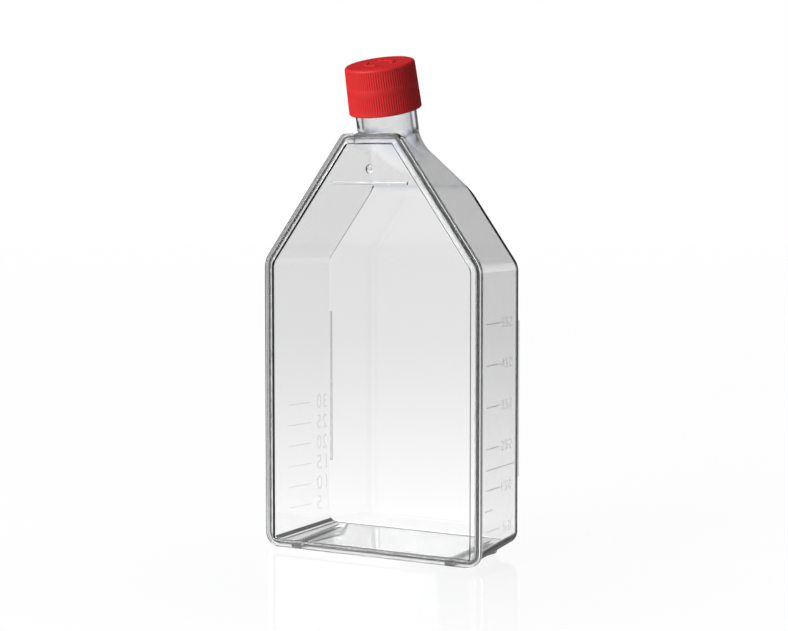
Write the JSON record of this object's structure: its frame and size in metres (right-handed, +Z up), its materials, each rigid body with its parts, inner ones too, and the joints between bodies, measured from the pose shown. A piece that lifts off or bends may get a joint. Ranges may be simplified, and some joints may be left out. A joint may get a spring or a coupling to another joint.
{
  "type": "cell culture flask",
  "caption": "Clear flat-sided cell culture flask standing on its end wall, with slanted shoulders, a canted neck and a ribbed screw cap that unscrews.",
  "frame": {"origin": "bottom centre of the whole flask as it stands on its end wall", "axes": "+Z up along the flask, -Y towards the welded window plate, +Y towards the growth surface, +X to the right seen from the front"},
  "size_m": [0.116, 0.0536, 0.2287],
  "materials": {
    "clear_polystyrene": "clear, polished by the mould",
    "red_polyethylene": "satin, fine moulded ribs",
    "seal_foam": "plain soft disc"
  },
  "bodies": {
    "flask": {"flask_body": "clear_polystyrene", "front_plate": "clear_polystyrene"},
    "seal": {"cap_liner": "seal_foam"},
    "cap": {"screw_cap": "red_polyethylene"}
  },
  "joints": [
    {"name": "cap_lift", "type": "slide", "parent": "flask", "child": "seal", "axis": [0, -0.2419, 0.9703], "range_m": [0, 0.0091]},
    {"name": "cap_turn", "type": "hinge", "parent": "seal", "child": "cap", "pos_m": [0, -0.00359, 0.1935], "axis": [0, -0.2419, 0.9703], "range_deg": [0, 810]}
  ],
  "couplings": [
    {"joint": "cap_lift", "follows": "cap_turn", "m_per_rad": 0.00063662}
  ]
}
